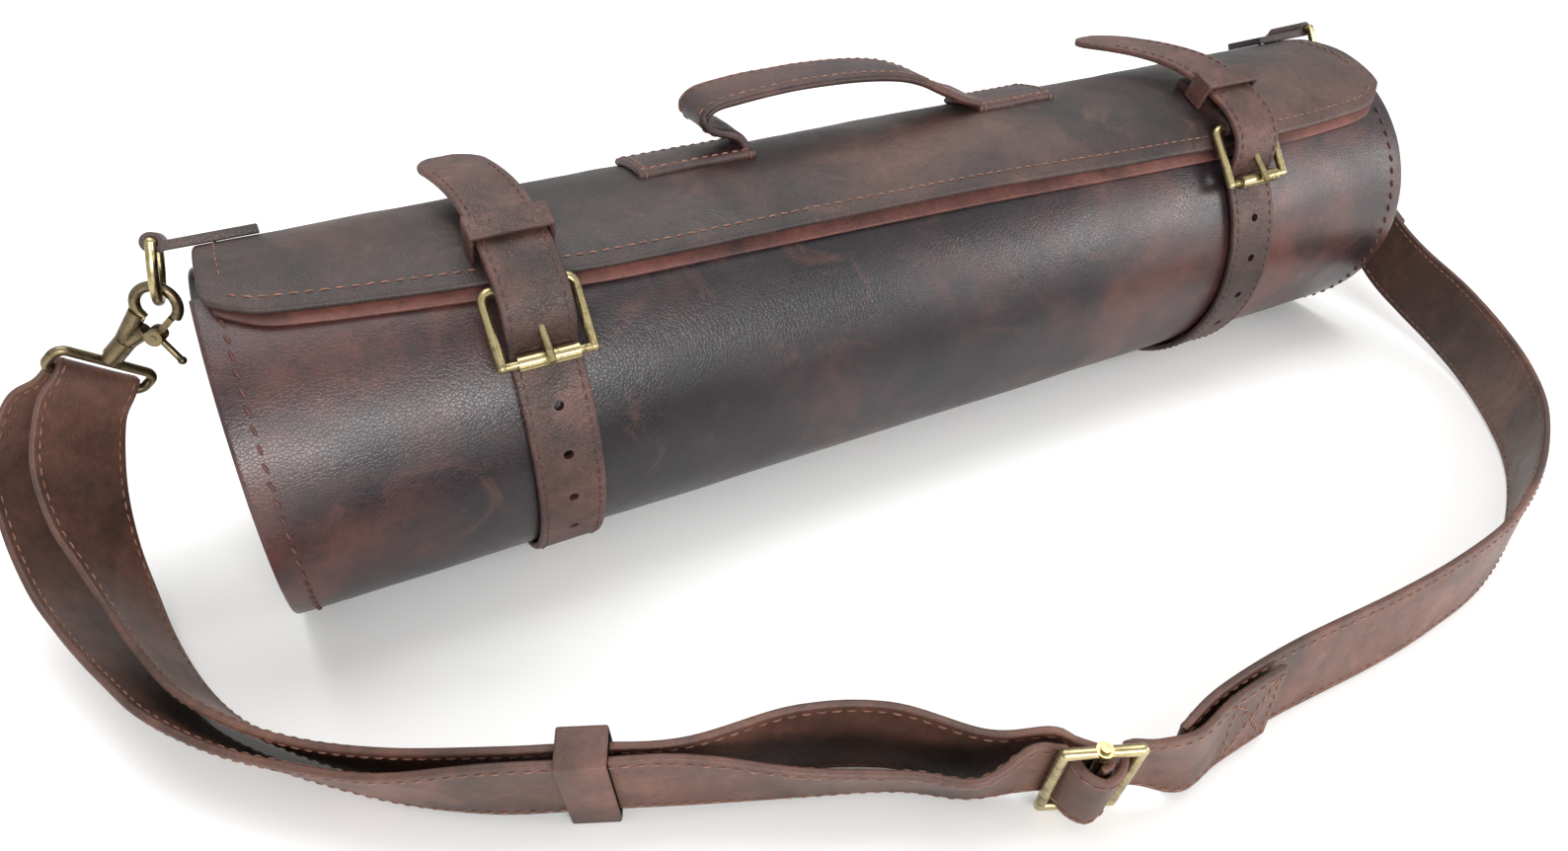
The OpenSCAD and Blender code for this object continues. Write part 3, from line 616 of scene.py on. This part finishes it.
# the strap ends where its tip reaches TIP_Y on the top side
top_side = np.where((path[:, 1] > 110) & (path[:, 0] > 0) & (seg > 250))[0]
end_len = np.interp(TIP_Y, path[top_side, 0], seg[top_side])
arcs = run(end_len, 330, 0.9)
Y, Z = np.interp(arcs, seg, path[:, 0]), np.interp(arcs, seg, path[:, 1])
to_tip, R = end_len - arcs, CLOSE_W / 2
tip_round = np.sqrt(np.clip(R ** 2 - (R - np.minimum(to_tip, R)) ** 2, 0.3, None))
half_width = np.where(to_tip < R, tip_round, R)
tail = np.clip((arcs - (end_len - TAIL_RUN)) / TAIL_RUN, 0, 1)


def hole_cutter(centre, n, sides=24, reach=4):
    """A prism through the strap at a punched hole."""
    b = np.cross([1, 0, 0], n)
    ring = [centre + (np.array([1, 0, 0]) * math.cos(q) + b * math.sin(q)) * HOLE_R
            for q in np.linspace(0, 2 * math.pi, sides + 1)[:-1]]
    verts = [v + n * reach for v in ring] + [v - n * reach for v in ring]
    faces = [tuple(range(sides)), tuple(reversed(range(sides, 2 * sides)))]
    faces += [(k, k + sides, (k + 1) % sides + sides, (k + 1) % sides) for k in range(sides)]
    return new_object("cut", verts, faces, CRACK, smooth=False)


def punch(obj, centres):
    """Cuts the punched holes; their normals are made consistent first, which the boolean needs."""
    cutters = [hole_cutter(c, n) for c, n in centres]
    bpy.ops.object.select_all(action="DESELECT")
    for cutter in cutters:
        cutter.select_set(True)
    cut = bpy.context.view_layer.objects.active = cutters[0]
    bpy.ops.object.join()
    for mesh in (cut.data, obj.data):
        bm = bmesh.new()
        bm.from_mesh(mesh)
        bmesh.ops.recalc_face_normals(bm, faces=bm.faces)
        bm.to_mesh(mesh)
        bm.free()
    mod = obj.modifiers.new("holes", "BOOLEAN")
    mod.operation, mod.object, mod.solver = "DIFFERENCE", cut, "EXACT"
    me = bpy.data.meshes.new_from_object(obj.evaluated_get(bpy.context.evaluated_depsgraph_get()))
    obj.modifiers.clear()
    obj.data = me
    me.shade_smooth()
    me.set_sharp_from_angle(angle=math.radians(50))
    bpy.data.objects.remove(cut)


def hole_centres(xc):
    """Centre and outward direction of each hole, on the front of the roll."""
    winding, underside = np.degrees(np.arctan2(Z - AXIS, -Y)), (Z < 20) * 99
    for p in HOLE_PHI:
        i = int(np.argmin(abs(winding - p) + underside))
        n = np.array([0, Y[i], Z[i] - AXIS])
        yield np.array([xc, Y[i], Z[i]]), n / np.linalg.norm(n)


def closure_strap(side, xc):
    """A punched strap round the roll at x = xc, with its tail leaning and lifted."""
    lean, rise = CLOSE_TAIL[side]
    A, VV = np.meshgrid(arcs, run(CLOSE_W, 16, 0.9) / CLOSE_W * 2 - 1, indexing="ij")
    xx = xc + VV * half_width[:, None] + (lean * tail ** 1.8)[:, None]
    yy = np.broadcast_to(Y[:, None], A.shape)
    zz = np.broadcast_to((Z + rise * tail ** 2)[:, None], A.shape)
    wob = 0.22 * noise(A / 22, VV * 1.2 + 3, 31 + (side == "right"), 2)
    s = Slab("closure_strap_" + side + "_leather", np.stack([xx, yy, zz], 2), A, (VV + 1) * R, CLOSE_T, CRACK,
             edge=0.9, bump=np.where(A > 330, wob * 0.6, np.minimum(wob, 0.1)))
    face, _ = s.face_towards(250, 8, [0, Y[250], Z[250] - AXIS])
    punch(s.obj, hole_centres(xc))
    s.finish("closure_strap_" + side)
    n, sewn = radial(Y, Z), (arcs > 8) & (arcs < end_len - 12)
    for j in (s.col(2.4), s.col(-2.4)):
        stitch("case", (face[:, j] + n * 0.02)[sewn], n[sewn], pitch=3.6, length=2.3, r=0.26, skip=on_floor,
               key="red")


for side, xc in CLOSE_X.items():
    closure_strap(side, xc)

# ------------------------------------------------------------------ small leather pieces and metal
for side in ("left", "right"):
    copy_of("buckle_chape_" + side, DARK, "case", bevel=0.7)
    copy_of("keeper_loop_" + side, CRACK, "case", bevel=1.3, segments=4)
    copy_of("ring_tab_" + side, FLAP, "case", bevel=0.9)
    paint(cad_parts["hem_" + side].data, EDGE_RED)
    for node in ("buckle_frame_", "buckle_roller_", "buckle_prong_", "d_ring_"):
        paint(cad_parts[node + side].data, BRASS)
    for node in ("hook_body_", "hook_gate_", "gate_pin_", "swivel_eye_"):
        paint(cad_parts[node + side].data, BRONZE)
paint(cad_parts["inner_lining"].data, LINING_HIDE)
paint(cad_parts["strap_slider_frame"].data, BRASS)
paint(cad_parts["strap_slider_bar"].data, BRASS)
copy_of("strap_keeper", STRAP, "strap_keeper", bevel=1.4, segments=4)

# ------------------------------------------------------------------ handle
# (x, z) along the middle of the strap, from its left foot over the grip to its right foot
HANDLE = [[-52.5, 117.6], [-54.5, 121.4], [-57.5, 123.4], [-62, 124.8], [-66, 127.4], [-67, 131], [-63, 134],
          [-55, 135.2], [-42, 136], [-24, 136.2], [-8, 135.4], [6, 133.4], [16, 130.2], [25, 125.6],
          [34, 121.4], [42, 118.6]]
grip_lo, grip_hi = box_mm("handle_grip")
hy, hw = (grip_lo[1] + grip_hi[1]) / 2, (grip_hi[1] - grip_lo[1])
line = spline(HANDLE, 6)
seg = arc_length(line)
arcs = run(seg[-1], 110, 0.8)
hx, hz = np.interp(arcs, seg, line[:, 0]), np.interp(arcs, seg, line[:, 1])
A, VV = np.meshgrid(arcs, run(hw, 18, 1.3) - hw / 2, indexing="ij")
pinch = 1 - 0.10 * np.exp(-((A - 14) / 9.0) ** 2)
CUP = 1.1
cup = CUP * (1 - (2 * VV / hw) ** 2) * np.clip((A - 20) / 25, 0, 1) * np.clip((seg[-1] - A) / 30, 0, 1)
P = np.stack([np.broadcast_to(hx[:, None], A.shape), hy + VV * pinch,
              np.broadcast_to(hz[:, None], A.shape) - 0.6 * (1 - cup / CUP) * (cup > 0)], 2)
grip = Slab("handle_leather", P, A, VV + hw / 2, HANDLE_T, DARK, edge=1.3,
            bump=0.2 * noise(A / 18, VV / 9, 41, 2))
grip.finish("handle_grip", body=None)
UP = (0, 0, 1)
face, sign = grip.face_towards(60, 9, UP)
for j in (grip.col(2.6), grip.col(-2.6)):
    stitch("handle", face[14:-14, j], grip.N[14:-14, j] * sign, pitch=3.8, length=2.6, r=0.32, key="tan")
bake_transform(grip.obj)


def handle_foot(side, x0, x1):
    """A flat end of the handle, sewn to the flap all round."""
    PHI, XX = np.meshgrid(run(FOOT_PHI[1] - FOOT_PHI[0], 16, 1.0) + FOOT_PHI[0], run(x1 - x0, 26, 1.0) + x0,
                          indexing="ij")
    y, z = on(flap_r(PHI) + FLAP_T + 0.1 + FOOT_T / 2, PHI)
    y = np.clip(y, hy - hw / 2, hy + hw / 2)
    foot = Slab("handle_foot_" + side, np.stack([XX, y, z], 2), (PHI - FOOT_PHI[0]) / PER_RADIAN * FOOT_R,
                XX - x0, FOOT_T, DARK, edge=1.0, bump=0.15 * noise(XX / 9, PHI / 7, 51, 2))
    foot.finish("handle_tab_" + side)
    face, sign = foot.face_towards(9, 12, UP)
    for cut in ([(slice(4, -4), foot.col(d)) for d in (2.4, -2.4)]
                + [(foot.row(d), slice(5, -5)) for d in (2.4, -2.4)]):
        stitch("case", face[cut], foot.N[cut] * sign, pitch=3.6, length=2.5, r=0.32, start=1, end=1, key="tan")


for side, (x0, x1) in FOOT_X.items():
    handle_foot(side, x0, x1)

# ------------------------------------------------------------------ shoulder strap
SLIDER = np.array([-55.2, -198.9, 18.2])                 # middle of the slider's bar
slider_yaw, slider_lean = math.radians(-23), math.radians(16)
slider_along = np.array([math.cos(slider_yaw), math.sin(slider_yaw), 0])
slider_out = np.array([math.sin(slider_yaw) * math.cos(slider_lean),
                       -math.cos(slider_yaw) * math.cos(slider_lean), -math.sin(slider_lean)])
slider_up = np.cross(slider_out, slider_along)


def th(s, n, w):
    """A station at the slider: s along it, n out from its bar, w wide."""
    c, h = SLIDER + s * slider_along + n * slider_out, slider_up * w / 2
    return [*(c - h), *(c + h)]


# each station is the strap's lower edge and its upper edge, in millimetres
RIGHT = [[-30, -201.1, 1.4, -31, -203.6, 28.6], [-14, -198.7, 0.8, -14, -199.4, 30.2],
         [16, -197, 0.5, 16, -197, 30.5],
         [56, -197, 0.5, 56, -197, 30.5], [86, -195, 0.5, 86, -195.5, 30.5], [116, -190, 0.5, 116, -191, 30.5],
         [148, -178, 0.5, 149, -179, 30], [180, -158, 0.5, 182, -160, 30], [203, -136, 0.5, 206, -139, 30],
         [222, -111, 1, 226, -113, 31], [236, -85, 3, 241, -86, 33], [244, -60, 7, 251, -59, 36],
         [248, -42, 12, 257, -40, 41], [252, -22, 22, 264, -20, 49], [254, -3, 34, 269, -3, 60],
         [255, 14, 44, 273, 9, 67], [257, 25, 56.5, 274.5, 19, 73.5], [251.9, 25.7, 64.5, 268.9, 19.5, 80.2],
         [249.5, 27.9, 67.8, 266.5, 21.8, 83.6], [252, 31.9, 66.8, 269, 25.7, 82.5],
         [259.5, 29, 55, 277, 23, 72],
         [257.6, 14.6, 42.2, 275.6, 9.6, 65.2], [256.6, -2.4, 32.2, 271.6, -2.4, 58.2],
         [254.8, -21.6, 20.6, 266.8, -19.6, 47.6], [251, -41.8, 11.2, 260, -39.8, 40.2]]
LEFT = [[8, -200.2, 2, 8, -200.8, 29], [-12, -201.9, 1.8, -12.3, -202.8, 29.3],
        [-27, -204.6, 3, -28, -206.6, 29.4],
        th(16, -2.9, 26), th(9.5, -3.4, 26), th(7.4, -2.8, 26), th(5.9, 0.2, 26), th(4.1, 3.7, 26),
        th(0, 6.1, 26), th(-4.1, 3.7, 26), th(-5.9, 0.2, 26), th(-7.4, -2.8, 26), th(-9.5, -3.4, 26),
        th(-16, -3.4, 27),
        [-78, -179, 2.2, -84, -192, 26.5], [-92, -168, 1.2, -97, -182, 25.5], [-116, -158, 1.5, -120, -170, 27],
        [-143, -148.5, 3.9, -146, -155.5, 31.6], [-165, -138.5, 3.9, -168, -145.5, 31.6],
        [-187, -128.5, 3.9, -190, -135.5, 31.6], [-206, -113.5, 1.2, -214, -123, 28],
        [-223, -98, 0.9, -233, -107.5, 26], [-238, -82, 0.9, -250, -91, 25], [-251, -64.5, 0.9, -265, -71, 25],
        [-261, -43.5, 0.9, -276, -48, 24], [-269, -21, 2, -285, -27, 25], [-275, 0, 8, -292, -8, 30],
        [-278, 17, 20, -295, 8, 42], [-276, 29, 36, -294, 21, 57], [-267, 36, 52, -285, 30, 71],
        [-258.3, 34.1, 60.8, -275.3, 27.9, 76.5], [-252, 31.9, 66.8, -269, 25.7, 82.5],
        [-249.5, 27.9, 67.8, -266.5, 21.8, 83.6], [-251.9, 25.7, 64.5, -268.9, 19.5, 80.2],
        [-257, 25, 56.5, -275, 17, 74], [-262, 17, 40, -281, 8, 60], [-264, 8, 24, -281, -2, 45],
        [-263, -4, 11, -277, -12, 35], [-260, -22, 3, -272, -26, 29], [-254, -43, 0.9, -265, -47, 27],
        [-245, -63, 0.9, -256, -69, 27], [-233, -79, 0.9, -243, -88, 27], [-219, -94, 0.9, -228, -103, 27],
        [-203, -109, 1.6, -209, -117.5, 28.5], [-185, -124, 3.9, -188, -131, 31.6],
        [-163, -134, 3.9, -166, -141, 31.6], [-141, -144, 3.9, -144, -151, 31.6],
        [-113, -150, 1.2, -114, -154, 30.5],
        [-90, -161, 0.9, -92, -164, 30], [-73, -177, 1, -75, -182, 29], th(-10, -8, 26), th(-5, -5.2, 26),
        th(0, -2.9, 26), th(2.1, -2.1, 26), th(2.9, 0, 26), th(1.9, 2.1, 26), th(-0.5, 2.9, 26)]


def strap(name, stations, node, seed):
    """A length of the shoulder strap through its stations, stitched along both edges and both faces."""
    s = spline(stations, 10)
    seg = arc_length((s[:, :3] + s[:, 3:]) / 2)
    arcs = run(seg[-1], int(seg[-1] / 1.6), 0.8)
    S = np.stack([np.interp(arcs, seg, s[:, k]) for k in range(6)], 1)
    A, VV = np.meshgrid(arcs, run(STRAP_W, 22, 0.9) / STRAP_W, indexing="ij")
    P = S[:, None, :3] * (1 - VV[..., None]) + S[:, None, 3:] * VV[..., None]
    loose = np.clip((A - 60) / 60, 0, 1) * np.clip((seg[-1] - 60 - A) / 60, 0, 1)
    bump = 0.16 * noise(A / 24, VV * 1.5, seed, 2) * loose
    o = Slab(name, P, A, VV * STRAP_W, STRAP_T, STRAP, edge=0.85, bump=bump)
    o.finish(node)
    for j in (o.col(2.6), o.col(-2.6)):
        for face, sign in ((o.top, 1), (o.low, -1)):
            stitch("case", face[3:-3, j] + o.N[3:-3, j] * 0.02 * sign, o.N[3:-3, j] * sign, pitch=3.9,
                   length=2.7, r=0.28, key="tan")
    return o


def cross_stitch(o, arc0, arc1):
    """Stitches across the strap at two places and a cross between them, on both faces."""
    size = dict(pitch=3.6, length=2.5, r=0.28, key="tan")
    i0, i1 = o.row(arc0), o.row(arc1)
    for face, sign in ((o.top, 1), (o.low, -1)):
        for i in (i0, i1):
            stitch("case", face[i, 6:-6], o.N[i, 6:-6] * sign, start=0.5, end=0.5, **size)
        rows = np.linspace(i0, i1, 40).round().astype(int)
        cols = np.linspace(6, face.shape[1] - 7, 40).round().astype(int)
        for c in (cols, cols[::-1]):
            stitch("case", face[rows, c], o.N[rows, c] * sign, **size)


long_strap = strap("shoulder_strap_long_leather", RIGHT, "shoulder_strap_long", 61)
short_strap = strap("shoulder_strap_adjust_leather", LEFT, "shoulder_strap_adjust", 62)
cross_stitch(long_strap, 3, 24)
cross_stitch(long_strap, long_strap.arc_u[-1] - 26, long_strap.arc_u[-1] - 3)
cross_stitch(short_strap, 3, 20)

build_threads({"tan": THREAD_TAN, "red": THREAD_RED})

# ------------------------------------------------------------------ floor, light and camera
bpy.ops.mesh.primitive_plane_add(size=9, location=(0, 0, -0.0002))
floor = bpy.context.object
floor.name = "floor"
paper, _, bsdf = tree("floor")
bsdf.inputs["Base Color"].default_value = (0.93, 0.93, 0.92, 1)
bsdf.inputs["Roughness"].default_value = 0.9
bsdf.inputs["Specular IOR Level"].default_value = 0.1
floor.data.materials.append(paper)

world = bpy.context.scene.world or bpy.data.worlds.new("World")
bpy.context.scene.world = world
world.use_nodes = True
back = world.node_tree.nodes.get("Background")
back.inputs["Color"].default_value = (1, 1, 1, 1)
back.inputs["Strength"].default_value = 0.75


def area(name, place, target, size, power):
    """A white rectangular lamp at place, turned towards target."""
    data = bpy.data.lights.new(name, "AREA")
    data.shape, data.size, data.size_y, data.energy = "RECTANGLE", size[0], size[1], power
    o = bpy.data.objects.new(name, data)
    bpy.context.scene.collection.objects.link(o)
    o.location = place
    o.rotation_mode = "QUATERNION"
    o.rotation_quaternion = (Vector(target) - Vector(place)).to_track_quat("-Z", "Y")


area("key", (-0.28, -1.25, 0.5), (-0.1, 0, 0.06), (0.9, 0.32), 15)
area("top", (0.1, 0.3, 1.7), (0, 0, 0), (1.6, 1.2), 22)
area("right", (0.95, -0.86, 0.4), (0.1, 0, 0.06), (0.5, 0.4), 6)


def camera(place, yaw, pitch, tilt, lens):
    """The photograph's view: yaw from +Y towards +X, pitch down, tilt about the view."""
    forward = Vector((math.sin(yaw) * math.cos(pitch), math.cos(yaw) * math.cos(pitch), -math.sin(pitch)))
    level = forward.cross(Vector((0, 0, 1))).normalized()
    upright = level.cross(forward)
    right = math.cos(tilt) * level + math.sin(tilt) * upright
    up = -math.sin(tilt) * level + math.cos(tilt) * upright
    data = bpy.data.cameras.new("camera")
    data.sensor_width, data.lens, data.clip_start = 36.0, lens, 0.01
    cam = bpy.data.objects.new("camera", data)
    bpy.context.scene.collection.objects.link(cam)
    rows = [(right[k], up[k], -forward[k], place[k]) for k in range(3)]
    cam.matrix_world = Matrix((*rows, (0, 0, 0, 1)))
    return cam


bpy.context.scene.camera = camera((-0.19908, -0.31809, 0.24370), math.radians(26.769), math.radians(34.394),
                                  math.radians(-0.895), lens=24.69)
bpy.context.scene.view_settings.view_transform = "Standard"
